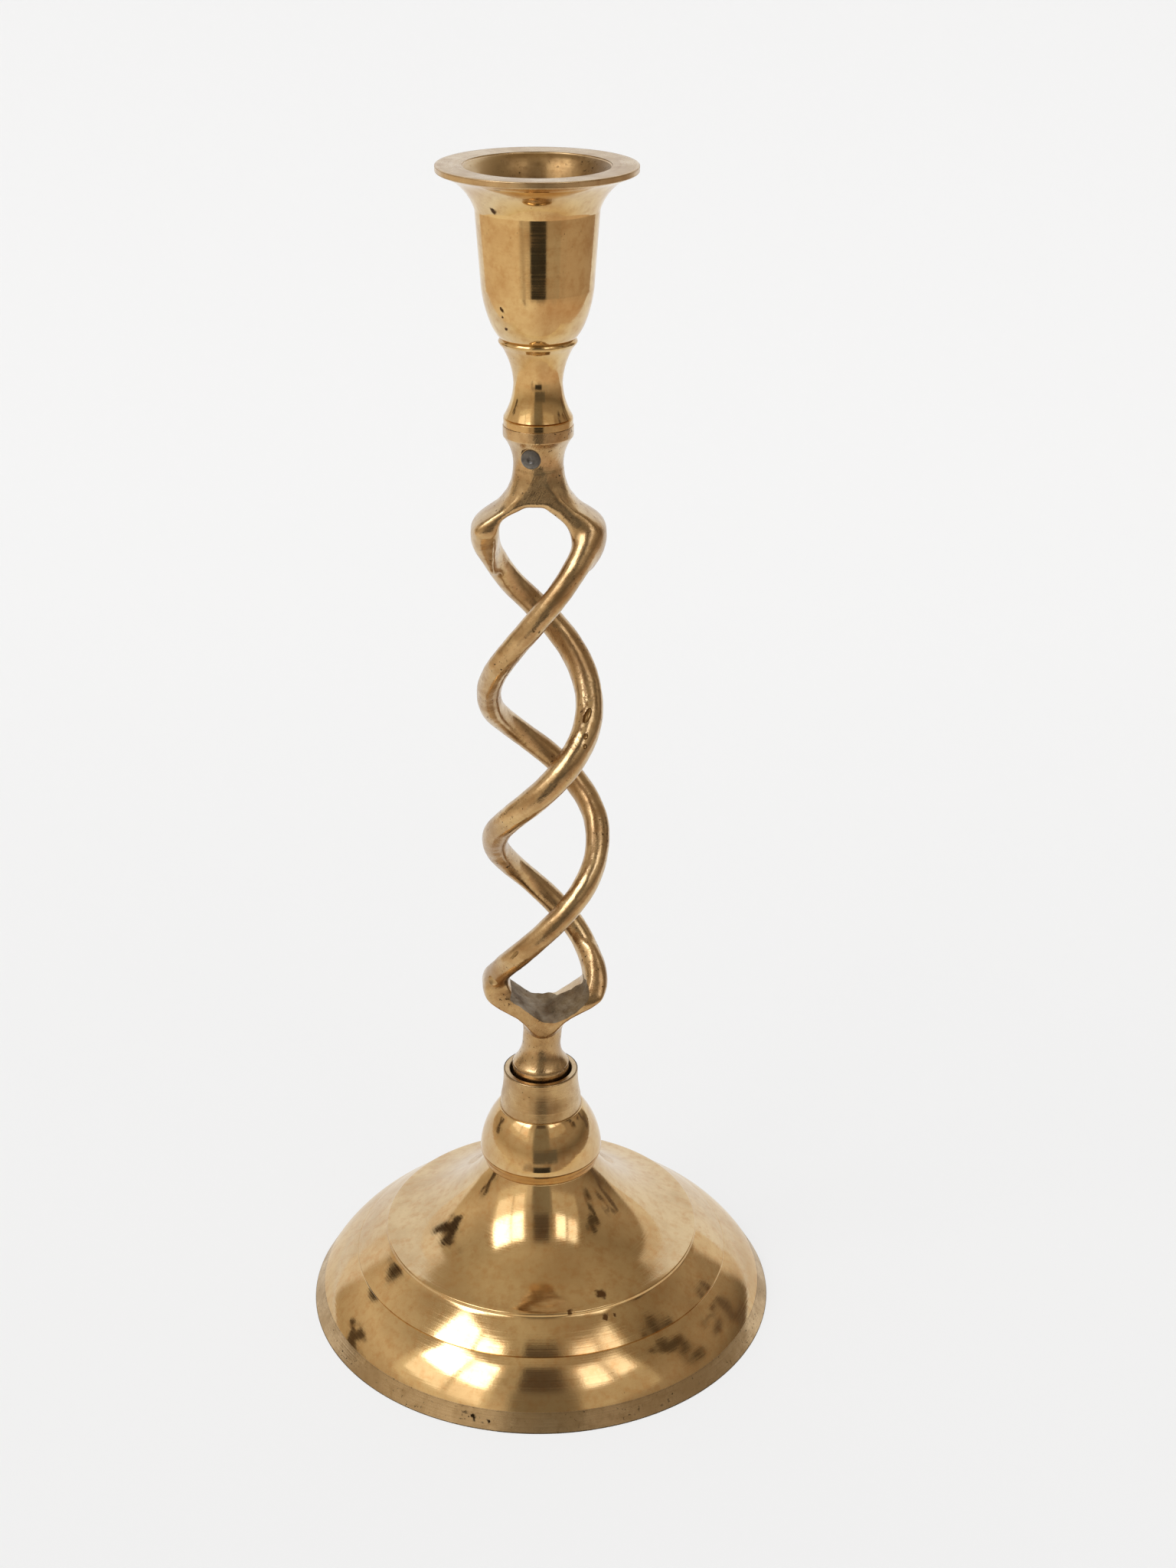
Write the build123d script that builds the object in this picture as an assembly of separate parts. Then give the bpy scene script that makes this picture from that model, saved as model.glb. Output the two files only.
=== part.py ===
from build123d import *
import os

# Open-twist brass candle holder, in millimetres. It stands on Z = 0 with its axis on Z.
# The front is -Y. The yokes of the twisted stem spread along X.

# Clearances
thread_clearance = 0.05
spigot_clearance = 0.05
pin_clearance = 0.03
mouth_clearance = 0.6
washer_clearance = 0.3

# Threads: both studs have the same quarter-inch thread, drawn as a plain cylinder
stud_r = 3.175
stud_chamfer = 0.6
hole_spare_depth = 0.6

# Foot: a hollow casting with a rim band, a dome, a raised step and a hollow-sided cone
foot_r = 57.0
foot_height = 39.2
band_height = 4.1
band_inset = 2.1
rim_width = 3.4
step_r = 38.7
step_z = 20.0
step_drop = 0.8
dome_bulge = 1.0
cone_hollow = 3.5
foot_wall = 1.8
crown_thickness = 4.2

# Knop and collar
lip_r = 13.9
lip_height = 0.4
lip_overhang = 0.7
knop_r = 15.1
knop_belly_height = 3.4
knop_height = 15.1
knop_ledge = 0.35
knop_low_bulge = 0.15
knop_bulge = 1.35
collar_height = 10.1
collar_wall = 1.7
collar_taper = 0.75
recess_depth = 5.8
spigot_r = 6.5
spigot_short = 0.4

# Fasteners below the crown and in the recess
packing_thickness = 1.4
base_washer_r = 7.0
base_washer_thickness = 1.5
nut_across_flats = 11.1
nut_height = 5.5
nut_chamfer = 0.6
base_stud_tail = 2.5
base_stud_grip = 10.0

# Twisted stem
stem_length = 165.3
stem_foot_r = 6.9
stem_foot_height = 6.6
lower_neck_r = 4.75
lower_neck_z = 13.5
lower_root_r = 5.2
lower_root_z = 17.8
lower_bell_hollow = 1.0
lower_corner_z = 28.3
helix_r = 11.8
strand_r = 3.0
twist_turns = 1.5
corner_r = 3.3
upper_corner_drop = 25.0
upper_root_r = 6.7
upper_root_drop = 13.3
upper_neck_r = 5.65
upper_neck_drop = 8.8
upper_neck_hollow = 0.3
stem_flange_r = 7.8
stem_flange_height = 1.7
stem_flange_chamfer = 0.5

# Yokes, turned with the stem and then filed flat in front and behind
upper_shoulder_hollow = 0.5
lower_shoulder_hollow = 0.5
yoke_root_depth = 5.0
yoke_corner_depth = 2.3
shoulder_tuck = 0.5
arch_half = 2.5
arch_rise = 8.0
arch_corner_inset = 3.6
arch_corner_drop = 2.0

# Candle cup
cup_flange_r = 7.6
cup_flange_height = 1.9
cup_bead_r = 7.4
cup_neck_r = 5.5
cup_neck_low_height = 7.6
cup_neck_high_height = 8.7
cup_neck_low_hollow = 0.45
cup_neck_high_hollow = 0.6
bowl_ledge = 0.3
bowl_foot_r = 8.2
bowl_round_height = 11.0
bowl_round_bulge = 0.65
bowl_wall_height = 14.7
candle_r = 11.1
wall_low = 0.9
wall_high = 1.85
flare_height = 9.2
flare_hollow = 1.5
mouth_land_width = 5.7
mouth_depth = 9.0
mouth_hollow = 0.7
lip_thickness = 1.3
cup_lip_r = 21.17
socket_floor_r = 7.0
socket_floor_thickness = 3.8
socket_spare = 0.8
socket_round_bulge = 1.0
cup_stud_grip_cup = 11.0
cup_stud_grip_stem = 10.0

# Pin that locks the cup's stud in the stem
pin_r = 2.0
pin_drop = 6.3
pin_turn = -17.0
pin_dimple = 0.8
pin_tip_gap = 0.1

# Heights of the seats, from the floor up
knop_z = foot_height
crown_under_z = foot_height - crown_thickness
collar_z = knop_z + knop_height
mouth_z = collar_z + collar_height
recess_z = mouth_z - recess_depth
stem_z = recess_z + packing_thickness
stem_top_z = stem_z + stem_length
cup_z = stem_top_z

# Sizes that follow from the pieces that meet there
stud_hole_r = stud_r + thread_clearance
washer_hole_r = stud_r + washer_clearance
crown_r = lip_r - lip_overhang
mouth_r = stem_foot_r + mouth_clearance
collar_top_r = mouth_r + collar_wall
collar_base_r = collar_top_r + collar_taper
knop_top_r = collar_base_r + knop_ledge
base_washer_z = crown_under_z - base_washer_thickness
base_nut_z = base_washer_z - nut_height


def turned(start, *legs):
    """Turn a closed half outline about Z. A leg is (r, z), or (r, z, bulge) for an arc, and the
    bulge is to the left of the way from one point to the next, or to the right if negative."""
    edges = []
    here = start
    for r, z, *bulge in (*legs, start):
        there = (r, z)
        if bulge:
            edges.append(SagittaArc(here, there, bulge[0]))
        else:
            edges.append(Line(here, there))
        here = there
    outline = Plane.XZ * (Curve() + edges)
    return revolve(make_face(outline.edges()), Axis.Z)


def upright(r, low, high):
    """A plain cylinder on the axis between two heights."""
    return Pos(Z=low) * Cylinder(r, high - low, align=(Align.CENTER, Align.CENTER, Align.MIN))


def stud(low, high):
    """A stud with chamfered ends."""
    tip_r = stud_r - stud_chamfer
    return turned(
        (0, low),
        (tip_r, low),
        (stud_r, low + stud_chamfer),
        (stud_r, high - stud_chamfer),
        (tip_r, high),
        (0, high),
    )


def foot():
    """Hollow foot whose flat rim rests on the table and whose crown carries the knop."""
    dome_top_z = step_z - step_drop
    hole_r = spigot_r + spigot_clearance
    return turned(
        (foot_r, 0),
        (foot_r - band_inset, band_height),
        (step_r, dome_top_z, -dome_bulge),
        (step_r, step_z),
        (crown_r, foot_height, cone_hollow),
        (hole_r, foot_height),
        (hole_r, crown_under_z),
        (crown_r - foot_wall, crown_under_z),
        (step_r - foot_wall, dome_top_z - foot_wall, -cone_hollow),
        (foot_r - rim_width, 0, dome_bulge),
    )


def knop_collar():
    """Ball knop with a spigot into the foot's crown and a tapered collar round the stem's recess."""
    spigot_z = crown_under_z + spigot_short
    return turned(
        (spigot_r, spigot_z),
        (spigot_r, knop_z),
        (lip_r, knop_z),
        (lip_r, knop_z + lip_height),
        (knop_r, knop_z + knop_belly_height, -knop_low_bulge),
        (knop_top_r, collar_z, -knop_bulge),
        (collar_base_r, collar_z),
        (collar_top_r, mouth_z),
        (mouth_r, mouth_z),
        (mouth_r, recess_z),
        (stud_hole_r, recess_z),
        (stud_hole_r, spigot_z),
    )


def base_stud():
    """Stud from below the nut, through foot and knop, up into the stem."""
    return stud(base_nut_z - base_stud_tail, stem_z + base_stud_grip)


def packing_washer():
    """Soft washer that the stem's bell is screwed down on."""
    washer = upright(mouth_r - washer_clearance, recess_z, stem_z)
    return washer - upright(washer_hole_r, recess_z, stem_z)


def base_washer():
    """Flat washer under the foot's crown."""
    washer = upright(base_washer_r, base_washer_z, crown_under_z)
    return washer - upright(washer_hole_r, base_washer_z, crown_under_z)


def base_nut():
    """Hexagon nut with its corners turned off at the lower end."""
    hexagon = RegularPolygon(nut_across_flats / 2, 6, major_radius=False)
    corner = hexagon.bounding_box().max.X
    blank = Pos(Z=base_nut_z) * extrude(hexagon, nut_height)
    shape = turned(
        (0, base_nut_z),
        (corner - nut_chamfer, base_nut_z),
        (corner + nut_chamfer, base_nut_z + nut_chamfer),
        (corner + nut_chamfer, base_washer_z),
        (0, base_washer_z),
    )
    return (blank & shape) - upright(stud_hole_r, base_nut_z, base_washer_z)


def upper_neck():
    """Flange and neck at the top of the stem, down to the arch between the yoke's arms."""
    root_z = stem_top_z - upper_root_drop
    arch_z = stem_top_z - upper_corner_drop + arch_rise
    flange_z = stem_top_z - stem_flange_height
    return turned(
        (0, arch_z),
        (upper_neck_r, arch_z),
        (upper_root_r, root_z),
        (upper_neck_r, stem_top_z - upper_neck_drop, upper_neck_hollow),
        (stem_flange_r - stem_flange_chamfer, flange_z - stem_flange_chamfer, upper_neck_hollow),
        (stem_flange_r, flange_z),
        (stem_flange_r, stem_top_z),
        (0, stem_top_z),
    )


def lower_neck():
    """Bell that stands in the collar, and the neck up to the cradle between the yoke's arms."""
    return turned(
        (0, stem_z),
        (stem_foot_r, stem_z),
        (stem_foot_r, stem_z + stem_foot_height),
        (lower_neck_r, stem_z + lower_neck_z, lower_bell_hollow),
        (lower_root_r, stem_z + lower_root_z),
        (lower_neck_r, stem_z + lower_corner_z - arch_rise),
        (0, stem_z + lower_corner_z - arch_rise),
    )


def yoke(root_r, root_z, corner_z, hollow):
    """Yoke between a neck and the two strands: a turned shoulder, filed flat in front and behind,
    and opened in the middle by an arch."""
    up = 1 if corner_z > root_z else -1
    shoulder_r = helix_r + corner_r - shoulder_tuck
    arch_z = corner_z - up * arch_rise
    mouth_z = corner_z + up * arch_corner_drop
    arch_r = helix_r - arch_corner_inset
    shoulder = turned(
        (0, root_z),
        (root_r, root_z),
        (shoulder_r, corner_z, up * hollow),
        (0, corner_z),
    )
    flats = Plane.YZ * Polygon(
        (yoke_root_depth, root_z),
        (yoke_corner_depth, corner_z),
        (-yoke_corner_depth, corner_z),
        (-yoke_root_depth, root_z),
        align=None,
    )
    arch = Plane.XZ * Polygon(
        (-arch_half, arch_z),
        (arch_half, arch_z),
        (arch_r, corner_z),
        (arch_r, mouth_z),
        (-arch_r, mouth_z),
        (-arch_r, corner_z),
        align=None,
    )
    blank = shoulder & extrude(flats, shoulder_r, both=True)
    blank += [Pos(x, 0, corner_z) * Sphere(corner_r) for x in (-helix_r, helix_r)]
    return blank - extrude(arch, shoulder_r, both=True)


def strand(low, high):
    """One strand of the twist, rising to the right round the open middle."""
    path = Pos(Z=low) * Helix((high - low) / twist_turns, high - low, helix_r)
    section = Plane(path @ 0, z_dir=path % 0) * Circle(strand_r)
    return sweep(section, path, is_frenet=True)


def pin_axis_frame():
    """Frame of the lock pin: Z runs from the stem's axis out through the front of the neck."""
    return Pos(Z=stem_top_z - pin_drop) * Rot(Z=pin_turn) * Rot(X=90)


def twist_stem():
    """The stem's casting: necks, yokes and two strands, drilled for the studs and the pin."""
    low = stem_z + lower_corner_z
    high = stem_top_z - upper_corner_drop
    twist = Rot(Z=-360 * twist_turns) * strand(low, high)
    stem = upper_neck() + lower_neck() + twist + Rot(Z=180) * twist
    stem += yoke(upper_root_r, stem_top_z - upper_root_drop, high, upper_shoulder_hollow)
    stem += yoke(lower_root_r, stem_z + lower_root_z, low, lower_shoulder_hollow)
    stem -= upright(stud_hole_r, stem_z, stem_z + base_stud_grip + hole_spare_depth)
    stem -= upright(stud_hole_r, stem_top_z - cup_stud_grip_stem - hole_spare_depth, stem_top_z)
    pin_hole = Cylinder(
        pin_r + pin_clearance, 2 * stem_flange_r, align=(Align.CENTER, Align.CENTER, Align.MIN)
    )
    return stem - pin_axis_frame() * pin_hole


def candle_cup():
    """Turned cup: flange, neck, bell-shaped bowl and flared lip, bored for the candle and the stud."""
    bead_z = cup_z + cup_flange_height
    neck_z = bead_z + cup_neck_low_height
    ledge_z = neck_z + cup_neck_high_height
    bowl_z = ledge_z + bowl_ledge
    wall_z = bowl_z + bowl_round_height
    flare_z = wall_z + bowl_wall_height
    lip_z = flare_z + flare_height
    top_z = lip_z + lip_thickness
    floor_z = bowl_z + socket_floor_thickness
    body = turned(
        (0, cup_z),
        (cup_flange_r, cup_z),
        (cup_flange_r, bead_z),
        (cup_bead_r, bead_z),
        (cup_neck_r, neck_z, cup_neck_low_hollow),
        (bowl_foot_r - bowl_ledge, ledge_z, cup_neck_high_hollow),
        (bowl_foot_r, ledge_z),
        (bowl_foot_r, bowl_z),
        (candle_r + wall_low, wall_z, -bowl_round_bulge),
        (candle_r + wall_high, flare_z),
        (cup_lip_r, lip_z, flare_hollow),
        (cup_lip_r, top_z),
        (cup_lip_r - mouth_land_width, top_z),
        (candle_r, top_z - mouth_depth, -mouth_hollow),
        (candle_r, wall_z + socket_spare),
        (socket_floor_r, floor_z, socket_round_bulge),
        (0, floor_z),
    )
    return body - upright(stud_hole_r, cup_z, cup_z + cup_stud_grip_cup + hole_spare_depth)


def cup_stud():
    """Stud between stem and cup, with a dimple for the lock pin's tip."""
    dimple = Pos(Z=stud_r - pin_dimple) * Cylinder(
        pin_r + pin_clearance, stud_r, align=(Align.CENTER, Align.CENTER, Align.MIN)
    )
    return stud(stem_top_z - cup_stud_grip_stem, cup_z + cup_stud_grip_cup) - pin_axis_frame() * dimple


def lock_pin():
    """Steel pin driven into the stem's neck and filed flush with it."""
    tip = stud_r - pin_dimple + pin_tip_gap
    blank = Pos(Z=tip) * Cylinder(
        pin_r, 2 * stem_flange_r, align=(Align.CENTER, Align.CENTER, Align.MIN)
    )
    return (pin_axis_frame() * blank) & upper_neck()


pieces = {
    "foot": foot,
    "knop_collar": knop_collar,
    "base_stud": base_stud,
    "packing_washer": packing_washer,
    "base_washer": base_washer,
    "base_nut": base_nut,
    "twist_stem": twist_stem,
    "candle_cup": candle_cup,
    "cup_stud": cup_stud,
    "lock_pin": lock_pin,
}

os.makedirs("parts", exist_ok=True)
for name, make in pieces.items():
    piece = make()
    export_step(piece, f"parts/{name}.step")
    print(name, round(piece.volume, 1), "mm3")
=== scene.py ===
# %% [markdown]
# # A brass twist candle holder
# The holder is turned and cast brass: a hollow foot, a knop with a collar, an open twist of two
# strands, and a flared cup. The CAD pieces give every place and size. The brass pieces are modelled
# again here, because polished metal shows each facet of a CAD mesh, and because the real casting
# has filed flats, pits and a slight bow that the CAD model leaves out.

# %% Load the frame
import math

import bmesh
import bpy
from mathutils import Matrix, Vector


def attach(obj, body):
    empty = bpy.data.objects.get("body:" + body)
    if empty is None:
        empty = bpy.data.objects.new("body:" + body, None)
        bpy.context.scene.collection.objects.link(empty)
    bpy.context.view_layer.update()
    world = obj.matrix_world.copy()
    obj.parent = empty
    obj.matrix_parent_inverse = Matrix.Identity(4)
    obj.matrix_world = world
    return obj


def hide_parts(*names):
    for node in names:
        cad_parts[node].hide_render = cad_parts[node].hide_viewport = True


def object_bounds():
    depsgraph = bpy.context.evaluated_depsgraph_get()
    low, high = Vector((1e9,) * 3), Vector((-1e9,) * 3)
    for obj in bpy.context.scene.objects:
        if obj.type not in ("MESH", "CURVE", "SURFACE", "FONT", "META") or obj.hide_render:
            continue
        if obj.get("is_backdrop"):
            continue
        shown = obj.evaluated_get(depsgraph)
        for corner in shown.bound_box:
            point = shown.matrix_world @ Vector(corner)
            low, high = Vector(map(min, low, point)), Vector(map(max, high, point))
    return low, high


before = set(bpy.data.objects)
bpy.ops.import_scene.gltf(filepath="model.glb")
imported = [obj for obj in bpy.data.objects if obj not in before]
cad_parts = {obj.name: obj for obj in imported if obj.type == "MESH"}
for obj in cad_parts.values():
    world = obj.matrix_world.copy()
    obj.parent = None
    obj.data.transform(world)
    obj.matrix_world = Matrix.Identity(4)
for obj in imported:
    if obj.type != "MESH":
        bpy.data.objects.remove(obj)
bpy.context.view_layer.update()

MM = 0.001

# %% [markdown]
# ## The camera
# The photograph looks down on the holder from just above the height of the cup. A camera can be
# aimed with a constraint or by hand. Here its place and two of its directions are written down,
# because they were fitted to the ellipses of the foot and the lip, and a fitted camera lets the
# render lie over the photograph.

# %% Camera
eye = Vector((0.0, -0.48418, 0.36377))
to_right = Vector((0.99978, -0.02055, 0.00523))
to_top = Vector((0.00386, 0.41909, 0.90793))
backward = to_right.cross(to_top)
camera_data = bpy.data.cameras.new("camera")
camera_data.sensor_width = 36.0
camera_data.lens = 53.27
camera_data.clip_start = 0.01
camera = bpy.data.objects.new("camera", camera_data)
turn = Matrix((to_right, to_top, backward)).transposed()
camera.matrix_world = Matrix.Translation(eye) @ turn.to_4x4()
bpy.context.scene.collection.objects.link(camera)
bpy.context.scene.camera = camera
print("camera", round(camera_data.lens, 2), "mm lens,", round(eye.length, 3), "m from the foot")

# %% [markdown]
# ## Colours and nodes
# Colours are written as people read them off a screen, as sRGB hex values, and Blender's shaders
# want linear light, so one function turns the one into the other. One more function adds a shader
# node, sets it up and links it. Giving it a whole node as an input links that node's first output.

# %% Colour and node helpers
def colour(hex_value):
    """The linear colour, with alpha, of an sRGB hex value such as "C8A060"."""
    shares = [int(hex_value[i:i + 2], 16) / 255 for i in (0, 2, 4)]
    return (*[s / 12.92 if s <= 0.04045 else ((s + 0.055) / 1.055) ** 2.4 for s in shares], 1.0)


def add_node(tree, kind, settings={}, inputs={}):
    """Add a shader node, set its own settings, and set or link its inputs by name or number."""
    made = tree.nodes.new("ShaderNode" + kind)
    for name, value in settings.items():
        setattr(made, name, value)
    for name, value in inputs.items():
        if isinstance(value, bpy.types.Node):
            value = value.outputs[0]
        if isinstance(value, bpy.types.NodeSocket):
            tree.links.new(value, made.inputs[name])
        else:
            made.inputs[name].default_value = value
    return made


SMOOTH_STEP = {"interpolation_type": "SMOOTHSTEP"}
COLOURS = {"data_type": "RGBA"}
print("brass in linear light", [round(c, 3) for c in colour("D7B878")])

# %% [markdown]
# ## The room
# Polished brass has little colour of its own and mostly shows what stands round it. A photograph of
# a room could light it, but here the world is drawn with nodes, by azimuth and elevation in degrees:
# azimuth 0 is the front, and positive is the right. Dark things by the paper's edge have no straight
# sides, so there is a second pair of angles that noise wobbles.

# %% Angles round the holder
world = bpy.data.worlds.new("studio_room")
bpy.context.scene.world = world
world.use_nodes = True
sky = world.node_tree
sky.nodes.clear()
way = add_node(sky, "TexCoord").outputs["Generated"]
split = add_node(sky, "SeparateXYZ", {}, {0: way})
forward = add_node(sky, "Math", {"operation": "MULTIPLY"}, {0: split.outputs["Y"], 1: -1.0})
turned = add_node(sky, "Math", {"operation": "ARCTAN2"}, {0: split.outputs["X"], 1: forward})
azimuth = add_node(sky, "Math", {"operation": "DEGREES"}, {0: turned})
risen = add_node(sky, "Math", {"operation": "ARCSINE"}, {0: split.outputs["Z"]})
elevation = add_node(sky, "Math", {"operation": "DEGREES"}, {0: risen})

wobble_degrees = 20.0
wobble = add_node(sky, "TexNoise", {}, {"Vector": way, "Scale": 5.0, "Detail": 4.0})
wobble_parts = add_node(sky, "SeparateXYZ", {}, {0: wobble.outputs["Color"]})
ragged = []
for angle, part in ((azimuth, 0), (elevation, 1)):
    swing = add_node(sky, "MapRange", {}, {
        0: wobble_parts.outputs[part], 3: -wobble_degrees, 4: wobble_degrees})
    ragged.append(add_node(sky, "Math", {"operation": "ADD"}, {0: angle, 1: swing}))
print("straight angles, and ragged ones within", wobble_degrees, "degrees")

# %% [markdown]
# The room itself is warm, with a pale ceiling. Each side of it is a colour ramp from the table up to
# the ceiling, and the two sides blend across the front.

# %% Walls and ceiling
room_sides = [
    # the left of the room, by elevation: table, far wall, wall, ceiling
    [(-60, "F2DDB4"), (-30, "FAE6BE"), (-18, "EED2A4"), (-6, "DCC294"), (4, "C0A678"), (14, "CDB388"),
     (26, "E0C9A0"), (48, "B8A47E"), (58, "BCA880"), (68, "CCB88E"), (90, "C2AC80")],
    # the right of the room, away from the big window
    [(-60, "D8BE98"), (-30, "DAB68A"), (-18, "BC9E78"), (-6, "9C8260"), (4, "7A674A"), (14, "A08A68"),
     (26, "AC9470"), (48, "947E5A"), (58, "A08A64"), (68, "AA926A"), (90, "A89066")],
]
height_share = add_node(sky, "MapRange", {}, {0: elevation, 1: -90.0, 2: 90.0})
sides = []
for side in room_sides:
    layers = add_node(sky, "ValToRGB", {}, {0: height_share})
    ramp = layers.color_ramp
    while len(ramp.elements) < len(side):
        ramp.elements.new(0.5)
    for stop, (degrees, hex_value) in zip(ramp.elements, side):
        stop.position = (degrees + 90) / 180
        stop.color = colour(hex_value)
    sides.append(layers)
across = add_node(sky, "MapRange", SMOOTH_STEP, {0: split.outputs["X"], 1: -0.4, 2: 0.45})
room = add_node(sky, "Mix", COLOURS, {0: across, 6: sides[0], 7: sides[1]}).outputs[2]
print("room of", len(room_sides), "sides with", len(room_sides[0]), "layers")

# %% [markdown]
# In front stand two bright windows with their panes, and between them the dark place where the
# camera is. They are soft-edged boxes of light or dark, laid over the room one after another.

# %% Soft boxes
soft_boxes = [
    # azimuth from, to, elevation from, to, soft edge, colour, strength, ragged or straight
    (-180, -128, -10, 50, 4, "F6ECDC", 1.0, False),
    (130, 180, -10, 50, 4, "EADCC4", 1.0, False),
    (-79, -27, 20, 60, 3, "F2DDB0", 1.0, False),
    (-75, -52, 27, 57, 2, "FFEFD0", 1.5, False),
    (-49, -31, 27, 57, 2, "FFEBC8", 1.4, False),
    (-75, -52, 40, 58, 3, "FFFAF0", 5.0, False),
    (-49, -31, 40, 58, 3, "FFF8EA", 4.4, False),
    (20, 62, 26, 60, 4, "CDB890", 1.0, False),
    (25, 41, 42, 58, 3, "FFF6E6", 2.3, False),
    (45, 58, 43, 58, 4, "FFF2DC", 1.7, False),
    (-14, 14, 40, 62, 6, "5E4E3A", 1.0, False),
    (-17, 18, 8, 42, 7, "8C7E62", 1.0, False),
    (-15, 30, -9, 10, 6, "6C6250", 1.0, False),
    (-36, 54, -24, -13, 14, "B09A78", 1.0, True),
    (-14, 17, -25, -12, 5, "3A352C", 1.0, False),
    (80, 90, 22, 48, 5, "54442E", 1.0, True),
    (106, 116, 2, 24, 4, "6A5640", 1.0, True),
    (-129, -114, 26, 44, 4, "443422", 1.0, True),
    (-106, -97, 2, 18, 4, "5A462C", 1.0, True),
]
for left, right, low, high, edge, hex_value, strength, is_ragged in soft_boxes:
    inside = 1.0
    angles = ragged if is_ragged else (azimuth, elevation)
    for angle, start, end in ((angles[0], left, right), (angles[1], low, high)):
        for sign, limit in ((1, start), (-1, end)):
            share = add_node(sky, "MapRange", SMOOTH_STEP, {
                0: angle, 1: limit - sign * edge / 2, 2: limit + sign * edge / 2})
            inside = add_node(sky, "Math", {"operation": "MULTIPLY"}, {0: inside, 1: share})
    lit = [c * strength for c in colour(hex_value)[:3]]
    room = add_node(sky, "Mix", {**COLOURS, "clamp_result": False},
                    {0: inside, 6: room, 7: (*lit, 1.0)}).outputs[2]
print("world with", len(soft_boxes), "soft boxes and dark cards")

# %% [markdown]
# Mirrors see the room in colour, but the paper would turn yellow in it, so light that falls on matt
# things loses nearly all its colour. The camera itself sees plain white behind the paper.

# %% World light
mirror_purity, matt_purity = 0.8, 0.05
path = add_node(sky, "LightPath")
purity = add_node(sky, "MapRange", {}, {
    0: path.outputs["Is Diffuse Ray"], 3: mirror_purity, 4: matt_purity})
even = add_node(sky, "HueSaturation", {}, {"Saturation": purity, "Color": room})
behind = add_node(sky, "Mix", COLOURS, {
    0: path.outputs["Is Camera Ray"], 6: even, 7: colour("F6F6F6")})
light = add_node(sky, "Background", {}, {"Color": behind.outputs[2], "Strength": 1.0})
add_node(sky, "OutputWorld", {}, {"Surface": light})
print("world of", len(sky.nodes), "nodes")

# %% [markdown]
# ## The paper
# The white paper lies flat under the holder and rises in a smooth curve behind it. A plane and a
# wall would show a line where they meet, so the paper is one line, drawn from the front edge over
# the table and up, and then extruded sideways into a sheet. It ends in front, where the room begins,
# and is narrower there.

# %% Paper sweep
def drawn_line(name, points):
    """A line of vertices from point to point, drawn by extruding one vertex, left in edit mode."""
    bpy.ops.object.select_all(action="DESELECT")
    bpy.ops.mesh.primitive_plane_add(size=MM, location=(0, 0, 0))
    piece = bpy.context.object
    piece.name = piece.data.name = name
    bpy.ops.object.mode_set(mode="EDIT")
    bpy.ops.mesh.select_all(action="SELECT")
    bpy.ops.mesh.merge(type="CENTER")
    bpy.ops.transform.translate(value=points[0])
    for here, there in zip(points, points[1:]):
        bpy.ops.mesh.extrude_vertices_move(TRANSFORM_OT_translate={"value": there - here})
    bpy.ops.mesh.select_all(action="SELECT")
    return piece


paper_front, paper_flat, paper_bend, paper_top = -0.115, 0.4, 0.3, 1.0
paper_half, front_half = 0.62, 0.24
paper_line = [Vector((-paper_half, paper_front, 0))]
for degrees in range(0, 91, 5):
    a = math.radians(degrees)
    curve = (paper_flat + paper_bend * math.sin(a), paper_bend * (1 - math.cos(a)))
    paper_line.append(Vector((-paper_half, *curve)))
paper_line.append(Vector((-paper_half, paper_flat + paper_bend, paper_top)))
paper = drawn_line("paper", paper_line)
bpy.ops.mesh.extrude_region_move(TRANSFORM_OT_translate={"value": (2 * paper_half, 0, 0)})
bpy.ops.mesh.select_all(action="DESELECT")
shape = bmesh.from_edit_mesh(paper.data)
for vertex in shape.verts:
    vertex.select_set(vertex.co.y < paper_front + MM)
bmesh.update_edit_mesh(paper.data)
bpy.ops.transform.resize(value=(front_half / paper_half, 1, 1), center_override=(0, 0, 0))
bpy.ops.object.mode_set(mode="OBJECT")
bpy.ops.object.shade_smooth()
print("paper", len(paper.data.polygons), "faces")

# %% [markdown]
# White paper is matt. To the camera and in the brass it also glows a little, so that it stays white
# without more light on the holder, and it still takes the holder's shadow. In the brass its front is
# tinted warm, which is painted light: it stands for the room's warm light falling on the paper there.

# %% Paper finish
glow_share, warm_light_end = 0.78, 0.12
paper_finish = bpy.data.materials.new("matt_white_paper")
paper_finish.use_nodes = True
tree = paper_finish.node_tree
tree.nodes.clear()
where = add_node(tree, "TexCoord").outputs["Object"]
depth = add_node(tree, "SeparateXYZ", {}, {0: where}).outputs["Y"]
away = add_node(tree, "MapRange", {}, {0: depth, 1: paper_front, 2: paper_flat + paper_bend})
white = add_node(tree, "Mix", COLOURS, {0: away, 6: colour("F8F8F8"), 7: colour("FDFDFD")}).outputs[2]
# Painted light: towards its front the paper turns warm in the brass, for the room's warm light on it.
near = add_node(tree, "MapRange", {}, {0: depth, 1: paper_front, 2: warm_light_end})
warm = add_node(tree, "Mix", COLOURS, {0: near, 6: colour("F0DDB6"), 7: white}).outputs[2]
path = add_node(tree, "LightPath")
tint = add_node(tree, "Mix", COLOURS, {0: path.outputs["Is Glossy Ray"], 6: white, 7: warm}).outputs[2]
seen = add_node(tree, "Math", {"operation": "MAXIMUM"}, {
    0: path.outputs["Is Camera Ray"], 1: path.outputs["Is Glossy Ray"]})
share = add_node(tree, "Math", {"operation": "MULTIPLY"}, {0: seen, 1: glow_share})
skin = add_node(tree, "BsdfDiffuse", {}, {"Color": tint})
glow = add_node(tree, "Emission", {}, {"Color": tint, "Strength": 1.0})
both = add_node(tree, "MixShader", {}, {0: share, 1: skin, 2: glow})
add_node(tree, "OutputMaterial", {}, {"Surface": both})
paper.data.materials.append(paper_finish)
paper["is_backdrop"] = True
print("paper finish of", len(tree.nodes), "nodes")

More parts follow.
